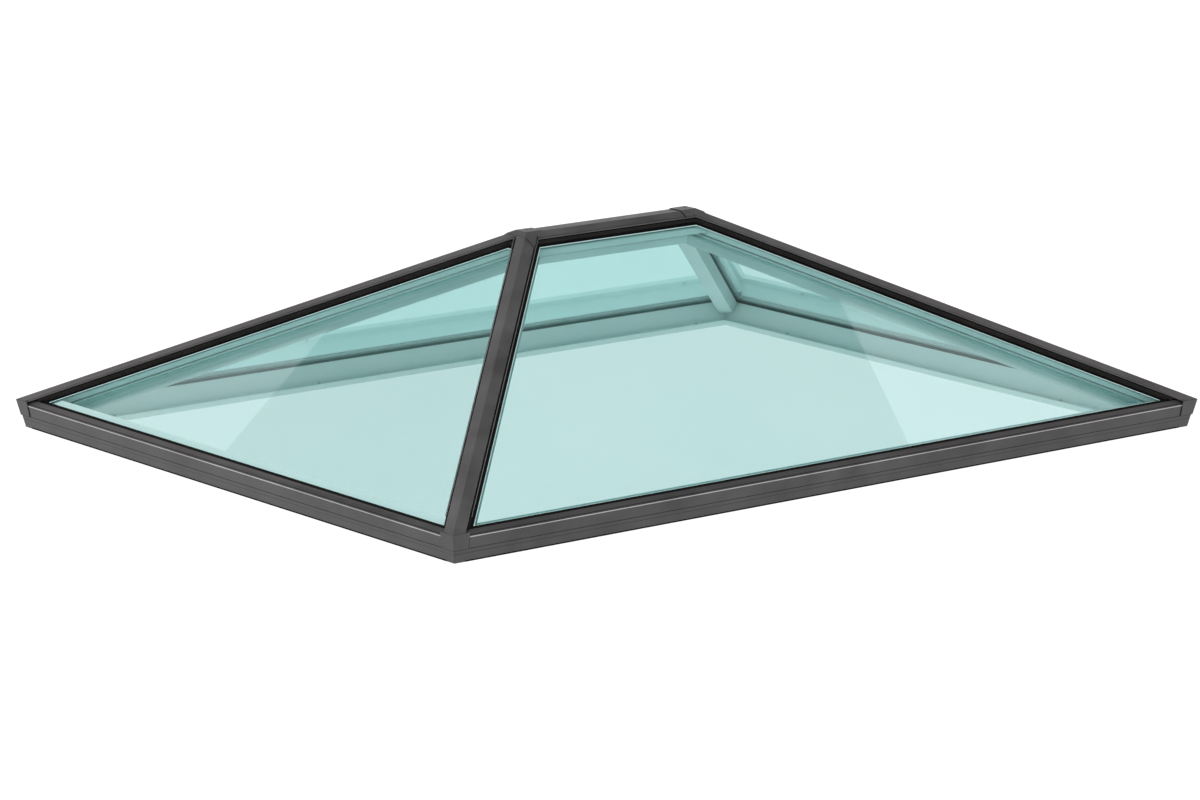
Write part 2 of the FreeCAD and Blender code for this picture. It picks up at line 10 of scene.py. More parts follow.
import bmesh
import bpy
import mathutils
import numpy as np
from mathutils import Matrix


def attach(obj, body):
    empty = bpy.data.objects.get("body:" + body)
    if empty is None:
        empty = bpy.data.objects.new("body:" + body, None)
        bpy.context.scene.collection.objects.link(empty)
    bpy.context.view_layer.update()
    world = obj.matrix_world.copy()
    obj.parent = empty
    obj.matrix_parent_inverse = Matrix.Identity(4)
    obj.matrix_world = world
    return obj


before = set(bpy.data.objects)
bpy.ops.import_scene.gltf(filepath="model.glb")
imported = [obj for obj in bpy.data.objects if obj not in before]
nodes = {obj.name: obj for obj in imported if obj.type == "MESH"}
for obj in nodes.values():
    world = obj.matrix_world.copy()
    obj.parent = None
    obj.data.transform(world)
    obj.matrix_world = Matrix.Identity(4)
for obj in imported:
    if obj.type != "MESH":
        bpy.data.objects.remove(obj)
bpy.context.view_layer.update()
scene = bpy.context.scene

# %% [markdown]
# The lantern's own lines. All four panes rise at one pitch from a line over the outer bottom edge, and the
# hips run at 45 degrees in plan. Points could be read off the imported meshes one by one, but any point on a
# pane also follows from the side, the distance along it and the distance up the slope. So every added piece
# is placed by the same few numbers, in metres.

# %% Lines of the roof
HALF_LENGTH = 1.275
HALF_WIDTH = 1.000
PITCH = math.radians(27)
GLASS_DATUM = 0.065
# Each side has its turn about Z in degrees and half its length.
SIDES = {
    "front": (0, HALF_LENGTH),
    "right": (90, HALF_WIDTH),
    "back": (180, HALF_LENGTH),
    "left": (270, HALF_WIDTH),
}
LONG_SIDES = ("front", "back")


def side_to_world(side, along, inward, height):
    """Turn a side's own coordinates (along its edge, inwards, up) about Z into the model's frame."""
    angle = math.radians(SIDES[side][0])
    outward = HALF_WIDTH if side in LONG_SIDES else HALF_LENGTH
    across = inward - outward
    x = math.cos(angle) * along - math.sin(angle) * across
    y = math.sin(angle) * along + math.cos(angle) * across
    return np.stack(np.broadcast_arrays(x, y, height), axis=-1)


def pane_point(side, along, slope, lift):
    """A point on a pane: slope is measured up the glass, lift square off its outer surface."""
    inward = slope * math.cos(PITCH) - lift * math.sin(PITCH)
    height = GLASS_DATUM + slope * math.sin(PITCH) + lift * math.cos(PITCH)
    return side_to_world(side, along, inward, height)


print("apex of the glass at", round(GLASS_DATUM + HALF_WIDTH * math.tan(PITCH), 4), "m")

# %% [markdown]
# Meshes from grids. Every piece below is a section carried along a path. It could be a bevelled curve, but
# then its corners would not mitre as cut lengths do. Here it is a table of points, with one row for each
# corner of the path and one column for each point of the section. Neighbouring entries make the faces, so
# the faces come from index arithmetic on whole arrays and not from a loop over points.


# %% Grids to meshes
def grid_faces(rows, columns, closed):
    """Quads between neighbours of a grid whose columns close on themselves, and its rows too if asked."""
    row, column = np.meshgrid(np.arange(rows if closed else rows - 1), np.arange(columns), indexing="ij")
    after = (row + 1) % rows
    beside = (column + 1) % columns
    corners = (
        row * columns + column,
        row * columns + beside,
        after * columns + beside,
        after * columns + column,
    )
    return np.stack(corners, axis=-1).reshape(-1, 4)


def swept_piece(name, grids, material, closed=False):
    """One piece from grids of one size: quads along each, and flat ends where it isn't closed."""
    rows, columns = grids[0].shape[:2]
    size = rows * columns
    faces = []
    for index in range(len(grids)):
        faces += (grid_faces(rows, columns, closed) + index * size).tolist()
        if not closed:
            ring = np.arange(columns) + index * size
            faces += [ring.tolist(), (ring + size - columns).tolist()]
    mesh = bpy.data.meshes.new(name)
    mesh.from_pydata(np.concatenate(grids).reshape(-1, 3).tolist(), [], faces)
    shell = bmesh.new()
    shell.from_mesh(mesh)
    bmesh.ops.recalc_face_normals(shell, faces=shell.faces)
    shell.to_mesh(mesh)
    shell.free()
    mesh.materials.append(material)
    piece = bpy.data.objects.new(name, mesh)
    scene.collection.objects.link(piece)
    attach(piece, "root")
    return piece


print("quads in a closed grid of four rows by three", len(grid_faces(4, 3, closed=True)))

# %% [markdown]
# Grain and clouds. Powder coat has a fine orange peel, and paint, rubber and metal all vary a little from
# place to place. Each material could have its own noise, but the effect is the same everywhere, so one
# shader group serves them all: soft clouds that vary the shade and the gloss, and a fine grain that lifts
# the surface.

# %% Grain and clouds
NOISE_LAYERS = {"Clouds": (3.0, 4.0), "Grain": (900.0, 2.0)}
NOISE_LOW = 0.3
NOISE_HIGH = 0.7


def grain_group():
    """Shader group: noise on object coordinates, each layer with its own scale, spread to the full range."""
    group = bpy.data.node_groups.new("grain_and_clouds", "ShaderNodeTree")
    inputs = group.nodes.new("NodeGroupInput")
    outputs = group.nodes.new("NodeGroupOutput")
    coords = group.nodes.new("ShaderNodeTexCoord")
    for name, (scale, detail) in NOISE_LAYERS.items():
        size = group.interface.new_socket(name=f"{name} Scale", in_out="INPUT", socket_type="NodeSocketFloat")
        size.default_value = scale
        group.interface.new_socket(name=name, in_out="OUTPUT", socket_type="NodeSocketFloat")
        noise = group.nodes.new("ShaderNodeTexNoise")
        noise.inputs["Detail"].default_value = detail
        group.links.new(coords.outputs["Object"], noise.inputs["Vector"])
        group.links.new(inputs.outputs[f"{name} Scale"], noise.inputs["Scale"])
        spread = group.nodes.new("ShaderNodeMapRange")
        spread.inputs["From Min"].default_value = NOISE_LOW
        spread.inputs["From Max"].default_value = NOISE_HIGH
        group.links.new(noise.outputs["Fac"], spread.inputs["Value"])
        group.links.new(spread.outputs["Result"], outputs.inputs[name])
    return group


GRAIN = grain_group()
print("layers of noise", list(NOISE_LAYERS))

# %% [markdown]
# Finishes. A finish is two shades, a gloss and a grain. A flat colour would look like plastic, so the
# clouds blend the two shades and shift the gloss, and the grain feeds a bump.

# %% Making a finish
GLOSS_DRIFT = 0.06
GRAIN_HEIGHT = 0.0004


def new_material(name):
    """A material with a plain Principled shader."""
    material = bpy.data.materials.new(name)
    material.use_nodes = True
    return material, material.node_tree, material.node_tree.nodes["Principled BSDF"]


def add_node(tree, kind, **values):
    """A shader node with the given input values, by socket name."""
    node = tree.nodes.new(kind)
    for socket, value in values.items():
        node.inputs[socket.replace("_", " ")].default_value = value
    return node


def grain_node(tree, clouds, grain):
    """The grain and clouds group, placed in a material with its own scales."""
    group = tree.nodes.new("ShaderNodeGroup")
    group.node_tree = GRAIN
    group.inputs["Clouds Scale"].default_value = clouds
    group.inputs["Grain Scale"].default_value = grain
    return group


def blend(tree, factor, first, second):
    """A colour between two, which are sockets or plain colours."""
    mix = tree.nodes.new("ShaderNodeMix")
    mix.data_type = "RGBA"
    tree.links.new(factor, mix.inputs["Factor"])
    for socket, colour in (("A", first), ("B", second)):
        if isinstance(colour, tuple):
            mix.inputs[socket].default_value = (*colour, 1)
        else:
            tree.links.new(colour, mix.inputs[socket])
    return mix.outputs["Result"]


def finish(name, deep, pale, roughness, bump, clouds, grain, shine=0.5):
    """A material whose shade and gloss drift with the clouds and whose grain lifts the surface."""
    material, tree, shader = new_material(name)
    group = grain_node(tree, clouds, grain)
    tree.links.new(blend(tree, group.outputs["Clouds"], deep, pale), shader.inputs["Base Color"])
    gloss = add_node(
        tree, "ShaderNodeMapRange", To_Min=roughness - GLOSS_DRIFT, To_Max=roughness + GLOSS_DRIFT)
    tree.links.new(group.outputs["Clouds"], gloss.inputs["Value"])
    tree.links.new(gloss.outputs["Result"], shader.inputs["Roughness"])
    lift = add_node(tree, "ShaderNodeBump", Strength=bump, Distance=GRAIN_HEIGHT)
    tree.links.new(group.outputs["Grain"], lift.inputs["Height"])
    tree.links.new(lift.outputs["Normal"], shader.inputs["Normal"])
    shader.inputs["Specular IOR Level"].default_value = shine
    return material


print("gloss drifts by", GLOSS_DRIFT, "either way")

# %% [markdown]
# Paints. The dark powder coat is the same outside on all bars, but the photograph shows the eaves a little
# deeper and the hips a little lighter than the ridge. Lamps could make that difference too, but they would
# show in the panes, so the coat has three shades: the eaves shade is a painted shade and the hip shade is a
# painted light. The bars inside are pale, and the ridge paint is a lighter copy of the inside paint, a
# painted light. The pale borders on the glass are painted light too.

# %% Paints, with painted light and painted shade
# Painted shade: the eaves shades are the powder coat made darker, and the ring beam uses them outside too.
EAVES_SHADED_DEEP = (0.0216, 0.0209, 0.0216)
EAVES_SHADED_PALE = (0.0562, 0.0547, 0.0554)
OUTSIDE = {"roughness": 0.42, "bump": 0.25, "clouds": 7.0, "grain": 700.0}
INSIDE = {"roughness": 0.5, "bump": 0.2, "clouds": 4.0, "grain": 700.0}
BAND_FINISH = {"roughness": 0.5, "bump": 0.1, "clouds": 4.0, "grain": 500.0}
POWDER_COAT = finish("powder_coat", (0.030, 0.029, 0.030), (0.078, 0.076, 0.077), **OUTSIDE)
EAVES_COAT_PAINTED_SHADE = finish("eaves_coat_painted_shade", EAVES_SHADED_DEEP, EAVES_SHADED_PALE, **OUTSIDE)
# Painted light: the hip coat is the powder coat made lighter.
HIP_COAT_PAINTED_LIGHT = finish("hip_coat_painted_light", (0.036, 0.035, 0.036), (0.094, 0.091, 0.092), **OUTSIDE)
INSIDE_PAINT = finish("inside_paint", (0.495, 0.625, 0.615), (0.59, 0.74, 0.73), **INSIDE)
# Painted light: the ridge paint is the inside paint made lighter for the light on the ridge beam.
RIDGE_PAINT_LIT = finish("ridge_paint_painted_light", (0.60, 0.74, 0.73), (0.69, 0.85, 0.84), **INSIDE)
# Painted light: white bands that cover the shade over the ring beam's shelf.
WHITE_PAINTED_LIGHT = finish("white_painted_light", (0.92, 0.96, 0.95), (0.97, 0.99, 0.98), **BAND_FINISH)
# Painted light: a pale band that covers the shade under the ridge cap.
BORDER_PAINTED_LIGHT = finish("border_painted_light", (0.44, 0.60, 0.59), (0.50, 0.68, 0.67), **BAND_FINISH)
print("paints and prints", len(bpy.data.materials))

# %% [markdown]
# Rubber, seals and bare metal. The gaskets are black and dull, and their ribs take a lighter rubber, a
# painted highlight along each rib. Three of the seats, the spacer bars and the tapes of the sealed units are
# pale; the pale seats and the tape's lightness are painted light that lifts their shade. The bright lines on
# the edges of the caps, on the eaves and by the glass are painted highlights. Only the shades, the gloss and
# the grain differ, so one function makes them all.

# %% Rubber, seals and metal
RUBBER = finish(
    "gasket_rubber", (0.002, 0.002, 0.002), (0.006, 0.006, 0.006),
    roughness=0.7, bump=0.3, clouds=9.0, grain=500.0, shine=0.08)
# Painted highlight: the ribs take a lighter rubber than the gasket.
RIB_RUBBER_HIGHLIGHT = finish(
    "rib_rubber_painted_highlight", (0.026, 0.024, 0.023), (0.042, 0.040, 0.038),
    roughness=0.6, bump=0.3, clouds=9.0, grain=500.0, shine=0.1)
# Painted light: three of the seats are near white to lift the shade beside the rafters.
SEAT_PAINTED_LIGHT = finish(
    "seat_painted_light", (0.90, 0.96, 0.95), (0.96, 0.99, 0.98), roughness=0.6, bump=0.2, clouds=6.0, grain=500.0)
SPACER = finish(
    "spacer_bar", (0.66, 0.86, 0.85), (0.72, 0.92, 0.91), roughness=0.4, bump=0.2, clouds=12.0, grain=800.0)
# The tape's light colour is partly a painted light that lifts the shade under the lip.
EDGE_TAPE_PAINTED_LIGHT = finish(
    "edge_tape_painted_light", (0.70, 0.86, 0.85), (0.78, 0.94, 0.93), roughness=0.6, bump=0.1, clouds=6.0, grain=500.0)
# Painted highlight: a pale bead for the bright edge line of the glass.
EDGE_SEAL_HIGHLIGHT = finish(
    "edge_seal_painted_highlight", (0.62, 0.90, 0.89), (0.70, 0.96, 0.95), roughness=0.25, bump=0.05, clouds=6.0, grain=300.0)
STEEL = finish(
    "screw_steel", (0.45, 0.45, 0.46), (0.60, 0.60, 0.60), roughness=0.3, bump=0.1, clouds=30.0, grain=900.0)
# Painted highlight: a light line on the caps' upright edges.
CAP_EDGE_HIGHLIGHT = finish(
    "cap_edge_painted_highlight", (0.085, 0.083, 0.084), (0.130, 0.128, 0.129),
    roughness=0.35, bump=0.1, clouds=9.0, grain=700.0)
# Painted highlight: a light line on the eaves caps' blunted edges.
ARRIS_PAINTED_HIGHLIGHT = finish(
    "arris_painted_highlight", (0.34, 0.34, 0.34), (0.48, 0.48, 0.48), roughness=0.3, bump=0.1, clouds=7.0, grain=700.0)
print("finishes", len(bpy.data.materials))

# %% [markdown]
# The ring beam is dark outside and pale inside, as two-colour lanterns are. Outside it takes the eaves'
# painted shade, and its inside paint is lighter than the rafters', a painted light. Its lengths could be
# split in two materials face by face, but a node's mesh isn't changed here. The finish changes by place
# instead: a point further in than the outer bottom edge takes the inside paint, and the outer part of the
# sloping shelf under the glass is painted black, a painted shade for the gap under the glass, which shows
# from inside as a dark slot. The shelf is where the beam lies on a plane parallel to the glass.

# %% Two-colour ring beam, with painted light inside and painted shade on the shelf
INSIDE_FROM = 0.001
# Painted light: the inside shades are lighter than the rafters' paint.
RING_INSIDE_LIT_DEEP = (0.86, 0.97, 0.96)
RING_INSIDE_LIT_PALE = (0.94, 0.99, 0.98)
RING_BUMP = 0.22
# Painted shade: black on the outer part of the shelf stands in for the shade in the gap under the glass.
SHELF_PAINTED_SHADE = (0.004, 0.004, 0.004)
SHELF_SHADE_EDGE = 0.062
SHELF_FOOT = 0.0268
SHELF_REACH = 0.001


def combine(tree, operation, value, other):
    """A math node on a socket and a second value, which is a socket or a number."""
    node = tree.nodes.new("ShaderNodeMath")
    node.operation = operation
    tree.links.new(value, node.inputs[0])
    if isinstance(other, float):
        node.inputs[1].default_value = other
    else:
        tree.links.new(other, node.inputs[1])
    return node.outputs["Value"]


def axis(tree, vector, name):
    """One axis of a vector."""
    parts = tree.nodes.new("ShaderNodeSeparateXYZ")
    tree.links.new(vector, parts.inputs["Vector"])
    return parts.outputs[name]


def inset_from_edge(tree, place):
    """Distance in from the outer bottom edge, the least over both sides of the plan."""
    size = tree.nodes.new("ShaderNodeVectorMath")
    size.operation = "ABSOLUTE"
    tree.links.new(place, size.inputs[0])
    inset = tree.nodes.new("ShaderNodeVectorMath")
    inset.operation = "SUBTRACT"
    inset.inputs[0].default_value = (HALF_LENGTH, HALF_WIDTH, 0)
    tree.links.new(size.outputs["Vector"], inset.inputs[1])
    gaps = inset.outputs["Vector"]
    return combine(tree, "MINIMUM", axis(tree, gaps, "X"), axis(tree, gaps, "Y"))


def on_shelf(tree, place, inset):
    """One where a point lies on the shelf: its height, less the rise of the pitch, is the shelf's foot."""
    rise = combine(tree, "MULTIPLY", inset, math.tan(PITCH))
    foot = combine(tree, "SUBTRACT", axis(tree, place, "Z"), rise)
    over = combine(tree, "GREATER_THAN", foot, SHELF_FOOT - SHELF_REACH)
    under = combine(tree, "LESS_THAN", foot, SHELF_FOOT + SHELF_REACH)
    return combine(tree, "MULTIPLY", over, under)


def two_colour_ring():
    """The eaves' painted shade outside, a lighter paint inside as painted light, and black painted shade on
    the outer part of the shelf.
    """
    material = finish(
        "ring_two_colour", EAVES_SHADED_DEEP, EAVES_SHADED_PALE, roughness=0.42, bump=RING_BUMP, clouds=7.0, grain=700.0)
    tree = material.node_tree
    base = tree.nodes["Principled BSDF"].inputs["Base Color"]
    place = tree.nodes.new("ShaderNodeTexCoord").outputs["Object"]
    inset = inset_from_edge(tree, place)
    inside = combine(tree, "GREATER_THAN", inset, INSIDE_FROM)
    outer_part = combine(tree, "LESS_THAN", inset, SHELF_SHADE_EDGE)
    shaded_shelf = combine(tree, "MULTIPLY", on_shelf(tree, place, inset), outer_part)
    clouds = grain_node(tree, INSIDE["clouds"], INSIDE["grain"]).outputs["Clouds"]
    shade = blend(tree, inside, base.links[0].from_socket, blend(tree, clouds, RING_INSIDE_LIT_DEEP, RING_INSIDE_LIT_PALE))
    tree.links.new(blend(tree, shaded_shelf, shade, SHELF_PAINTED_SHADE), base)
    return material


RING_COAT = two_colour_ring()
print("ring beam turns pale", INSIDE_FROM * 1000, "mm inside its outer bottom edge")

# %% [markdown]
# The glass. Solar-control glass has a teal body colour. It could be a flat see-through colour, but the real
# panes also mirror what is near them. Each sheet is a closed slab with real thickness, so light is tinted
# where it goes in and where it comes out. The outer sheet is coated against reflections, which its low
# index stands for. The inner sheet is plain: at a low angle it turns into a mirror and repeats the bars
# below it.

# %% Glass
GLASS_PALE = (0.805, 0.945, 0.940)
GLASS_DEEP = (0.785, 0.935, 0.930)
GLASS_CLOUDS = 1.2
GLASS_GRAIN = 300.0
COATED_INDEX = 1.01
PLAIN_INDEX = 1.5


def teal_glass(name, index):
    """Clear teal glass of one index, a little deeper in some places than in others."""
    material, tree, shader = new_material(name)
    clouds = grain_node(tree, GLASS_CLOUDS, GLASS_GRAIN).outputs["Clouds"]
    tree.links.new(blend(tree, clouds, GLASS_DEEP, GLASS_PALE), shader.inputs["Base Color"])
    shader.inputs["Roughness"].default_value = 0.0
    shader.inputs["IOR"].default_value = index
    shader.inputs["Transmission Weight"].default_value = 1.0
    return material


COATED_GLASS = teal_glass("coated_glass", COATED_INDEX)
PLAIN_GLASS = teal_glass("plain_glass", PLAIN_INDEX)
print("glass tint", GLASS_PALE)

# %% [markdown]
# Dress the imported pieces. The bars and caps are extrusions with slightly rounded arrises, which is where
# they catch the light. The rounding could be faked in the shader, but a real one also shows in the outline.
# The meshes are loose triangles, so a Weld joins them before a small Bevel rounds the edges. The photograph
# shows a black seat under the right-hand pane only. The other three seats are painted near white, a painted
# light that lifts the shade in the gap between the glass and the rafters.

# %% Finishes on the imported pieces
BLACK_SEAT_SIDE = "right"
FINISHES = {
    "outer_glass": COATED_GLASS,
    "inner_glass": PLAIN_GLASS,
    "spacer_bar": SPACER,
    f"seat_gasket_{BLACK_SEAT_SIDE}": RUBBER,
    "seat_gasket": SEAT_PAINTED_LIGHT,
    "weather_gasket": RUBBER,
    "ring_beam": RING_COAT,
    "hip_rafter": INSIDE_PAINT,
    "ridge_beam": RIDGE_PAINT_LIT,
    "eaves_cap": EAVES_COAT_PAINTED_SHADE,
    "hip_cap": HIP_COAT_PAINTED_LIGHT,
    "corner_cover": EAVES_COAT_PAINTED_SHADE,
    "ridge_cap": POWDER_COAT,
    "ridge_end_cover": POWDER_COAT,
}
SHARP_EDGED = (COATED_GLASS, PLAIN_GLASS, SPACER, RUBBER, SEAT_PAINTED_LIGHT)
ARRIS = 0.0009
ARRIS_STEPS = 2
ARRIS_ANGLE = math.radians(25)
WELD_REACH = 1e-5


def round_arrises(piece, width):
    """Weld the loose triangles and round every edge that turns by more than the arris angle."""
    weld = piece.modifiers.new("weld", "WELD")
    weld.merge_threshold = WELD_REACH
    bevel = piece.modifiers.new("arris", "BEVEL")
    bevel.width = width
    bevel.segments = ARRIS_STEPS
    bevel.limit_method = "ANGLE"
    bevel.angle_limit = ARRIS_ANGLE


for name, piece in nodes.items():
    coat = next(coat for kind, coat in FINISHES.items() if name.startswith(kind))
    piece.data.materials.clear()
    piece.data.materials.append(coat)
    if coat not in SHARP_EDGED:
        round_arrises(piece, ARRIS)
print("dressed", len(nodes), "pieces")

# %% [markdown]
# Ribs of the gaskets. The black gaskets under the hip and ridge caps are extruded with ribs along their
# visible face. They could be a bump, but ribs this long show their own line of light. A rib is a round
# section carried up one hip, across the top and down the other hip. The gaps to the hip and to the top grow
# by the same cosine of the section's angle, so the corners mitre by themselves.

# %% Gasket ribs
HIP_GASKET_EDGE = 0.026
TOP_GASKET_EDGE = {"front": 0.042, "back": 0.042, "left": 0.050, "right": 0.050}
RIB_START = 0.0145
RIB_RADIUS = 0.0013
RIB_LIFTS = (0.0035, 0.0075, 0.0115)
ROUND_POINTS = 10
ROUND_ANGLES = np.linspace(0, 2 * math.pi, ROUND_POINTS, endpoint=False)
ROUND_SECTION = np.stack([np.cos(ROUND_ANGLES), np.sin(ROUND_ANGLES)])


def pane_path(side, eaves, hip, top, lift):
    """Rows: the four corners of a line round a pane. Columns: section points, as gaps in plan and lifts."""
    eaves, hip, top, lift = np.broadcast_arrays(eaves, hip, top, lift)
    half = SIDES[side][1]
    low = eaves / math.cos(PITCH)
    high = (HALF_WIDTH - top) / math.cos(PITCH)
    low_half = half - eaves - hip * math.sqrt(2)
    high_half = half - HALF_WIDTH + top - hip * math.sqrt(2)
    along = np.stack([-low_half, -high_half, high_half, low_half])
    slope = np.stack([low, high, high, low])
    return pane_point(side, along, slope, lift)


def gasket_rib(side, lift):
    """A round rib, centred on the gasket's inner face at a lift over the glass."""
    out, up = RIB_RADIUS * ROUND_SECTION
    return pane_path(side, RIB_START, HIP_GASKET_EDGE + out, TOP_GASKET_EDGE[side] + out, lift + up)


for side in SIDES:
    ribs = [gasket_rib(side, lift) for lift in RIB_LIFTS]
    swept_piece(f"gasket_ribs_{side}", ribs, RIB_RUBBER_HIGHLIGHT)
print("ribs", len(RIB_LIFTS) * len(SIDES))

# %% [markdown]
# Painted highlights on the caps' edges. The upright edges of the hip and ridge caps catch a light line, so a
# painted highlight makes them a little brighter than the faces. It could be painted by a mask, but a mask has
# no clean end on so thin a line. A slim round line follows each cap's edge up one hip, along the top and down
# the other.

# %% Painted highlights on the caps' edges
CAP_EDGE_START = 0.040
HIP_CAP_HALF = 0.0268
RIDGE_CAP_HALF = 0.0428
CAP_EDGE_LIFT = 0.0200
HIGHLIGHT_RADIUS = 0.0010


def cap_edge_painted_highlight(side):
    """A round line on the top of a cap's upright edge, open at the eaves."""
    out, up = HIGHLIGHT_RADIUS * ROUND_SECTION
    return pane_path(side, CAP_EDGE_START, HIP_CAP_HALF + out, RIDGE_CAP_HALF + out, CAP_EDGE_LIFT + up)


for side in SIDES:
    swept_piece(f"cap_edge_painted_highlight_{side}", [cap_edge_painted_highlight(side)], CAP_EDGE_HIGHLIGHT)
print("rubbed edges", len(SIDES))

# %% [markdown]
# Wiper lips. Each gasket ends in a flat lip that wipes the glass, narrow at the eaves and wider along the
# hips and the top. A flat strip would look cut out of paper, so the lip is a thin wedge, closed into a loop
# round the pane.

# %% Wiper lips
EAVES_GASKET_EDGE = 0.024
EAVES_LIP = 0.001
HIP_LIP = 0.011
TOP_LIP = 0.011
LIP_TUCK = 0.002
LIP_SLANT = 0.001
LIP_LIFTS = np.array((0.0032, 0.0001, 0.0001, 0.0012))


def lip_reach(edge, width):
    """The wedge's four points across: two under the gasket, two at the lip's own edge."""
    return edge + np.array((-LIP_TUCK, -LIP_TUCK, width, width - LIP_SLANT))


def wiper_lip(side):
    """Rows: corners of the pane. Columns: the wedge's four points."""
    eaves = lip_reach(EAVES_GASKET_EDGE, EAVES_LIP)
    hip = lip_reach(HIP_GASKET_EDGE, HIP_LIP)
    top = lip_reach(TOP_GASKET_EDGE[side], TOP_LIP)
    return pane_path(side, eaves, hip, top, LIP_LIFTS)


for side in SIDES:
    swept_piece(f"wiper_lip_{side}", [wiper_lip(side)], RUBBER, closed=True)
print("lips", len(SIDES))

# %% [markdown]
# Edge seals. Where a lip meets the glass, a fine bead of pale sealant paints the glass's bright edge line all
# round the pane, a painted highlight. It is the same kind of sweep with a round section, so that it shines
# along its whole length.

# %% Edge seals, a painted highlight
SEAL_RADIUS = 0.0012


def edge_seal_painted_highlight(side):
    """A round bead half sunk in the glass, just inside the lip's edge."""
    out, up = SEAL_RADIUS * ROUND_SECTION
    out = SEAL_RADIUS + out
    eaves = EAVES_GASKET_EDGE + EAVES_LIP + out
    hip = HIP_GASKET_EDGE + HIP_LIP + out
    top = TOP_GASKET_EDGE[side] + TOP_LIP + out
    return pane_path(side, eaves, hip, top, up)


for side in SIDES:
    swept_piece(f"edge_seal_painted_highlight_{side}", [edge_seal_painted_highlight(side)], EDGE_SEAL_HIGHLIGHT, closed=True)
print("seals", len(SIDES))

# %% [markdown]
# Edge tape. Inside the sealed unit with the black seat, a pale tape lies on the inner sheet along the spacer
# bar, so that the seat doesn't show from outside. Its light colour is also a painted light that lifts the
# shade under the lip. The seat could be painted pale on its upper side, but it has to stay black where it
# shows from inside. The tape is a flat band, again a closed loop.

# %% Edge tape
TAPE_TOP = -0.0208
TAPE_FOOT = -0.0219
EAVES_TAPE = (0.0121, 0.0230)
HIP_TAPE = (0.0342, 0.0535)
APEX_TAPE = (0.0512, 0.0700)


def edge_tape_painted_light(side):
    """Rows: corners of the pane. Columns: the band's four corners, outer pair first."""
    across = [np.array((start, start, end, end)) for start, end in (EAVES_TAPE, HIP_TAPE, APEX_TAPE)]
    return pane_path(side, *across, np.array((TAPE_TOP, TAPE_FOOT, TAPE_FOOT, TAPE_TOP)))


tape = swept_piece("edge_tape_painted_light", [edge_tape_painted_light(BLACK_SEAT_SIDE)], EDGE_TAPE_PAINTED_LIGHT, closed=True)
print("tape", len(tape.data.vertices), "corners")

# %% [markdown]
# Pale borders, painted light. Along the ridge the long panes have a pale border on the underside of the outer
# sheet, and along the eaves every pane has a narrow white one. Both are painted light: opaque pale bands that
# cover the shade under the ridge cap and over the ring beam's shelf. They could be a mask in the glass, but a
# band is opaque and glass isn't. Each is a thin straight band between the two hips.

# %% Pale borders, painted light
BORDER_PLAN = np.array((0.0500, 0.0500, 0.0800, 0.0800))
BORDER_LIFTS = np.array((-0.0062, -0.0068, -0.0068, -0.0062))
BORDER_HIP = 0.038
EAVES_BORDER_START = 0.0225
EAVES_BORDER_WIDTH = {"front": 0.013, "right": 0.029, "back": 0.013, "left": 0.029}
BAND_SIDES = np.array((0, 0, 1, 1))
TOP_ROWS = [1, 2]
EAVES_ROWS = [0, 3]


def ridge_border_painted_light(side):
    """Rows: the two ends at the top of a pane. Columns: the band's four corners."""
    return pane_path(side, EAVES_GASKET_EDGE, BORDER_HIP, BORDER_PLAN, BORDER_LIFTS)[TOP_ROWS]


def eaves_border_painted_light(side):
    """Rows: the two ends at the eaves of a pane. Columns: the band's four corners."""
    plan = EAVES_BORDER_START + EAVES_BORDER_WIDTH[side] * BAND_SIDES
    return pane_path(side, plan, BORDER_HIP, BORDER_PLAN, BORDER_LIFTS)[EAVES_ROWS]


for side in LONG_SIDES:
    swept_piece(f"ridge_border_painted_light_{side}", [ridge_border_painted_light(side)], BORDER_PAINTED_LIGHT)
for side in SIDES:
    swept_piece(f"eaves_border_painted_light_{side}", [eaves_border_painted_light(side)], WHITE_PAINTED_LIGHT)
print("borders", len(LONG_SIDES) + len(SIDES))

# %% [markdown]
# Lines along the eaves. The blunted top edge of each eaves cap shows as a light line, which is a painted
# highlight, with a black line beside it as painted shade. A black seal lies in the joint between the caps and
# the ring beam and at the ends of the corner covers. A black line under the ring beam is painted shade along
# the bottom edge. Grooves could be cut into the bars, but a node's mesh isn't changed here, and a seal fills
# such a joint anyway. All are slim round bars, straight between two ends.

# %% Lines of the eaves
LEAN = math.tan(math.radians(11.8))
CORNER_LEG = 0.034
BAND_HEIGHT = 0.035
# Painted highlight: the light line on the eaves cap's blunted edge.
ARRIS_PLACE = (-0.0122, 0.0660)
ARRIS_RADIUS = 0.0014
# Painted shade: a black line beside the highlight.
GROOVE_SHADE_PLACE = (-0.0072, 0.0701)
GROOVE_SHADE_RADIUS = 0.0008
JOINT_PLACE = (-BAND_HEIGHT * LEAN, BAND_HEIGHT)
JOINT_RADIUS = 0.0004
# Painted shade: a black line along the bottom edge of the ring beam.
BASE_SHADE_PLACE = (0.0, 0.0022)
BASE_SHADE_RADIUS = 0.0020
COVER_END = 0.0372
COVER_LENGTH = 0.041
COVER_SEAM = 0.0014
COVER_HEIGHTS = (0.036, 0.064)
ENDS = (-1, 1)


def eaves_line(side, place, radius):
    """Rows: two ends at the corner covers. Columns: a round section about a place across the side."""
    half = SIDES[side][1] - CORNER_LEG
    inward, height = np.array(place)[:, None] + radius * ROUND_SECTION
    return np.stack([side_to_world(side, end * half, inward, height) for end in ENDS])


def cover_joint(side, end):
    """Rows: the foot and the head of a leaning line at a cover's end. Columns: a round section."""
    along = end * (SIDES[side][1] - COVER_END) + COVER_SEAM * ROUND_SECTION[0]
    inward = COVER_SEAM * ROUND_SECTION[1]
    rows = [side_to_world(side, along, inward - height * LEAN, height) for height in COVER_HEIGHTS]
    return np.stack(rows)


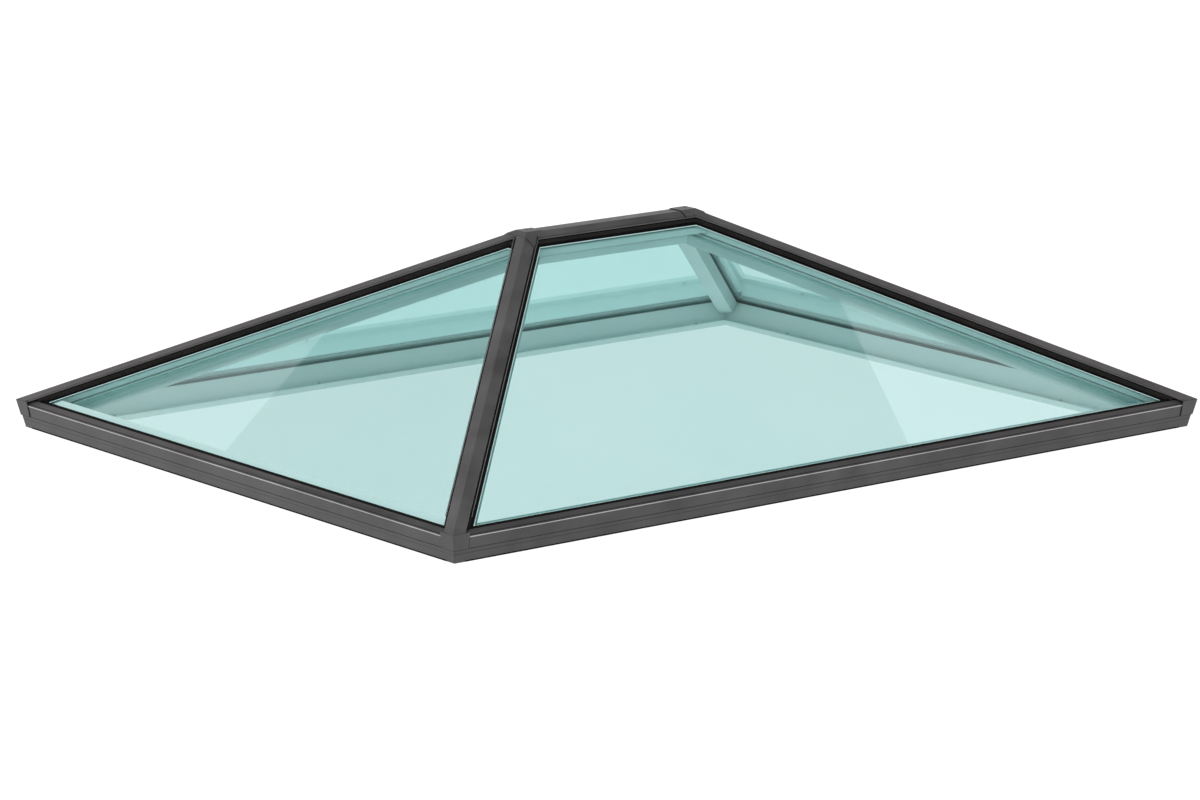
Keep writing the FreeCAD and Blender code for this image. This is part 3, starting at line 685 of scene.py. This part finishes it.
def cover_foot(side, end):
    """Rows: the cover's end and the corner, just under the cover. Columns: a round section."""
    corner = SIDES[side][1] - JOINT_PLACE[0]
    inward, height = np.array(JOINT_PLACE)[:, None] + COVER_SEAM * ROUND_SECTION
    rows = [side_to_world(side, end * along, inward, height) for along in (corner - COVER_LENGTH, corner)]
    return np.stack(rows)


for side in SIDES:
    arris = eaves_line(side, ARRIS_PLACE, ARRIS_RADIUS)
    swept_piece(f"eaves_painted_highlight_{side}", [arris], ARRIS_PAINTED_HIGHLIGHT)
    # The seals hold real joint seals together with the painted shade lines.
    seals = [
        eaves_line(side, GROOVE_SHADE_PLACE, GROOVE_SHADE_RADIUS),
        eaves_line(side, JOINT_PLACE, JOINT_RADIUS),
        eaves_line(side, BASE_SHADE_PLACE, BASE_SHADE_RADIUS),
    ]
    seals += [cover_joint(side, end) for end in ENDS]
    seals += [cover_foot(side, end) for end in ENDS]
    swept_piece(f"eaves_seals_and_shade_{side}", seals, RUBBER)
print("lines on each side", 1 + len(seals))

# %% [markdown]
# Seams of the ridge. Where an end cover laps over the ridge cap, a black seam shows. It could be drawn as a
# dark stripe in the paint, but a lap has a real edge. It follows the cap's section from one upright edge
# over the crest to the other, as a round section carried along a folded line.

# %% Ridge seams
SEAM_X = 0.2442
SEAM_RADIUS = 0.0011
SEAM_Y = np.array((-0.0432, -0.0432, -0.0220, 0.0220, 0.0432, 0.0432))
SEAM_Z = np.array((0.5700, 0.5753, 0.5860, 0.5860, 0.5753, 0.5700))
SEAM_TILT = np.radians((180, 150, 105, 75, 30, 0))


def ridge_seam(end):
    """Rows: folds of the cap's section. Columns: a round section, across the ridge and square off the cap."""
    x = end * SEAM_X + SEAM_RADIUS * ROUND_SECTION[0]
    off = SEAM_RADIUS * ROUND_SECTION[1]
    y = SEAM_Y[:, None] + np.cos(SEAM_TILT)[:, None] * off
    z = SEAM_Z[:, None] + np.sin(SEAM_TILT)[:, None] * off
    return np.stack(np.broadcast_arrays(x, y, z), axis=-1)


seams = [ridge_seam(end) for end in ENDS]
swept_piece("ridge_seams", seams, RUBBER)
print("ridge seams", len(seams))

# %% [markdown]
# Screws. Each fixing hole in the toe of the ring beams holds a pan-head screw. It could be cut from
# primitives, but the head is a turned form, and so it is made as one: a profile of radius against height,
# spun round the hole's axis.

# %% Screws in the toe
TOE_TOP = 0.016
FIXING_INSET = 0.109
LONG_FIXINGS = (-1.05, -0.35, 0.35, 1.05)
END_FIXINGS = (-0.6, 0.6)
HEAD_RADII = np.array((0.0030, 0.0030, 0.0055, 0.0055, 0.0046, 0.0026, 0.0022, 0.0020))
HEAD_HEIGHTS = np.array((-0.010, 0.0, 0.0, 0.0012, 0.0026, 0.0032, 0.0032, 0.0012))
TURN_POINTS = 24
TURN = np.linspace(0, 2 * math.pi, TURN_POINTS, endpoint=False)


def screw(side, place):
    """Rows: points of the head's profile. Columns: angle round the axis."""
    along = place + HEAD_RADII[:, None] * np.cos(TURN)
    inward = FIXING_INSET + HEAD_RADII[:, None] * np.sin(TURN)
    return side_to_world(side, along, inward, TOE_TOP + HEAD_HEIGHTS[:, None])


screws = []
for side in SIDES:
    places = LONG_FIXINGS if side in LONG_SIDES else END_FIXINGS
    screws += [screw(side, place) for place in places]
swept_piece("kerb_screws", screws, STEEL)
print("screws", len(screws))

# %% [markdown]
# The camera. It could be placed by eye, but the lantern's corners give more: its place, heading and lens
# come from matching those corners with the ones in the photograph, for a frame of 1200 by 800.

# %% Camera
CAMERA_PLACE = np.array((-8.78341, -11.10723, 3.16038))
CAMERA_HEADING = math.radians(51.74)
CAMERA_FALL = math.radians(12.29)
FOCAL_PIXELS = 5200
FRAME_PIXELS = 1200
SENSOR_WIDTH = 36
FAR_CLIP = 200
camera_data = bpy.data.cameras.new("camera")
camera_data.sensor_width = SENSOR_WIDTH
camera_data.lens = FOCAL_PIXELS / FRAME_PIXELS * SENSOR_WIDTH
camera_data.clip_end = FAR_CLIP
camera = bpy.data.objects.new("camera", camera_data)
scene.collection.objects.link(camera)
camera.location = CAMERA_PLACE
camera.rotation_euler = (math.pi / 2 - CAMERA_FALL, 0, CAMERA_HEADING - math.pi / 2)
scene.camera = camera
print("lens", round(camera_data.lens, 1), "mm")

# %% [markdown]
# The studio floor is a pale light table. A plain white floor would need strong lamps to come out white, and
# those would throw hard shadows. This one glows, as a backlit sheet does, so that the lantern throws no
# shadow and the panes have a bright ground behind them. It is a little weaker inside the lantern, and the
# change is hidden under the ring beam.

# %% Floor
FLOOR_HALF = 30.0
FLOOR_SHADE = (0.15, 0.15, 0.15, 1)
FLOOR_ROUGHNESS = 0.9
INNER_GLOW = 0.87
OUTER_GLOW = 1.00
RING_WIDTH = 0.12
floor_coat, floor_tree, floor_shader = new_material("studio_floor")
floor_shader.inputs["Base Color"].default_value = FLOOR_SHADE
floor_shader.inputs["Roughness"].default_value = FLOOR_ROUGHNESS
floor_shader.inputs["Specular IOR Level"].default_value = 0.0
floor_shader.inputs["Emission Color"].default_value = (1, 1, 1, 1)
floor_place = floor_tree.nodes.new("ShaderNodeTexCoord").outputs["Object"]
under_ring = inset_from_edge(floor_tree, floor_place)
glow = add_node(
    floor_tree, "ShaderNodeMapRange", From_Max=RING_WIDTH, To_Min=OUTER_GLOW, To_Max=INNER_GLOW)
floor_tree.links.new(under_ring, glow.inputs["Value"])
floor_tree.links.new(glow.outputs["Result"], floor_shader.inputs["Emission Strength"])
floor_mesh = bpy.data.meshes.new("floor")
floor_corners = [(x * FLOOR_HALF, y * FLOOR_HALF, 0) for x, y in ((-1, -1), (1, -1), (1, 1), (-1, 1))]
floor_mesh.from_pydata(floor_corners, [], [(0, 1, 2, 3)])
floor_mesh.materials.append(floor_coat)
floor = bpy.data.objects.new("floor", floor_mesh)
scene.collection.objects.link(floor)
print("floor", 2 * FLOOR_HALF, "m square")

# %% [markdown]
# The sky is bright all round the horizon and high up on the left, where the key light of a studio would be,
# and darker high up on the far side, which is the part that the panes mirror towards the camera. An even
# white sky would wash the panes out. This way the glass keeps its colour and the level crest of the ridge
# shines.

# %% Sky
HORIZON = 1.0
KEY_SKY = 1.1
FAR_SKY = 0.3
KEY_SIDE = (-0.80, -0.15, 0.58)
KEY_FROM = 0.05
KEY_TO = 0.55
RISE_FROM = 0.28
RISE_TO = 0.5
world = bpy.data.worlds.new("studio_sky")
scene.world = world
world.use_nodes = True
sky = world.node_tree
direction = sky.nodes.new("ShaderNodeTexCoord").outputs["Generated"]
toward_key = sky.nodes.new("ShaderNodeVectorMath")
toward_key.operation = "DOT_PRODUCT"
toward_key.inputs[1].default_value = KEY_SIDE
sky.links.new(direction, toward_key.inputs[0])
overhead = add_node(
    sky, "ShaderNodeMapRange", From_Min=KEY_FROM, From_Max=KEY_TO, To_Min=FAR_SKY, To_Max=KEY_SKY)
overhead.interpolation_type = "SMOOTHSTEP"
sky.links.new(toward_key.outputs["Value"], overhead.inputs["Value"])
rising = add_node(sky, "ShaderNodeMapRange", From_Min=RISE_FROM, From_Max=RISE_TO)
rising.interpolation_type = "SMOOTHSTEP"
sky.links.new(axis(sky, direction, "Z"), rising.inputs["Value"])
radiance = sky.nodes.new("ShaderNodeMix")
radiance.inputs["A"].default_value = HORIZON
sky.links.new(rising.outputs["Result"], radiance.inputs["Factor"])
sky.links.new(overhead.outputs["Result"], radiance.inputs["B"])
sky.nodes["Background"].inputs["Color"].default_value = (1, 1, 1, 1)
sky.links.new(radiance.outputs["Result"], sky.nodes["Background"].inputs["Strength"])
print("sky", HORIZON, "at the horizon,", KEY_SKY, "on the key side,", FAR_SKY, "on the far side")

# %% [markdown]
# Reflector cards. The photograph shows a paler zone on two panes, each with a straight edge: the reflection
# of a card. The zone could be painted on the glass, but then it would stay there in every view. A card
# stands where the pane mirrors the view from the camera: the ray to each end of the zone's edge is turned
# back at the pane, and the card's edge lies a few metres along it.

# %% Reflector cards
CARD_DISTANCE = 7.0
CARD_WIDTH = 1.4
CARD_OVERRUN = 0.6
CARD_COLOUR = (1.0, 0.71, 0.73)
LEFT_CARD = 0.72
LEFT_ZONE_TOP = (-0.579, 0.342, 0.420)
LEFT_ZONE_FOOT = (-1.243, 0.074, 0.081)
FRONT_CARD = 1.00
FRONT_ZONE_TOP = (0.537, -0.315, 0.414)
FRONT_ZONE_FOOT = (0.260, -0.986, 0.072)
MIRROR_DEPTH = 0.022
PANE_NORMALS = {
    "front": np.array((0, -math.sin(PITCH), math.cos(PITCH))),
    "left": np.array((-math.sin(PITCH), 0, math.cos(PITCH))),
}


def mirrored_place(side, point):
    """The place a card's distance along the ray from the camera, once the inner sheet has turned it back."""
    ray = np.array(point) - CAMERA_PLACE
    ray /= np.linalg.norm(ray)
    normal = PANE_NORMALS[side]
    turned = ray - 2 * (ray @ normal) * normal
    on_sheet = np.array(point) - ray * MIRROR_DEPTH / (ray @ normal)
    return on_sheet + CARD_DISTANCE * turned, turned


def reflector_card(side, edge_top, edge_foot, way, strength):
    """An area light with one edge on the mirrored edge, spreading to one side of it."""
    start, _ = mirrored_place(side, edge_top)
    end, turned = mirrored_place(side, edge_foot)
    length = np.linalg.norm(end - start)
    along = (end - start) / length
    across = np.cross(turned, along)
    across /= np.linalg.norm(across)
    light = bpy.data.lights.new(f"card_{side}", "AREA")
    light.shape = "RECTANGLE"
    light.size = length + 2 * CARD_OVERRUN
    light.size_y = CARD_WIDTH
    light.color = CARD_COLOUR
    light.energy = strength * math.pi * light.size * light.size_y
    card = bpy.data.objects.new(f"card_{side}", light)
    scene.collection.objects.link(card)
    middle = (start + end) / 2 + way * across * CARD_WIDTH / 2
    axes = np.stack([along, across, np.cross(along, across)], axis=1)
    card.matrix_world = mathutils.Matrix.Translation(middle) @ mathutils.Matrix(axes.tolist()).to_4x4()
    card.visible_camera = False


reflector_card("left", LEFT_ZONE_TOP, LEFT_ZONE_FOOT, -1, LEFT_CARD)
reflector_card("front", FRONT_ZONE_TOP, FRONT_ZONE_FOOT, 1, FRONT_CARD)
print("cards", CARD_DISTANCE, "m from the panes")

# %% [markdown]
# Light paths. A filmic view transform would grey the white ground, so colours go out plain. Light that
# passes two sealed units and comes back crosses sixteen surfaces, so it gets enough bounces for that.

# %% View and bounces
BOUNCES = 24
scene.view_settings.view_transform = "Standard"
scene.cycles.max_bounces = BOUNCES
scene.cycles.transmission_bounces = BOUNCES
print("bounces", BOUNCES)
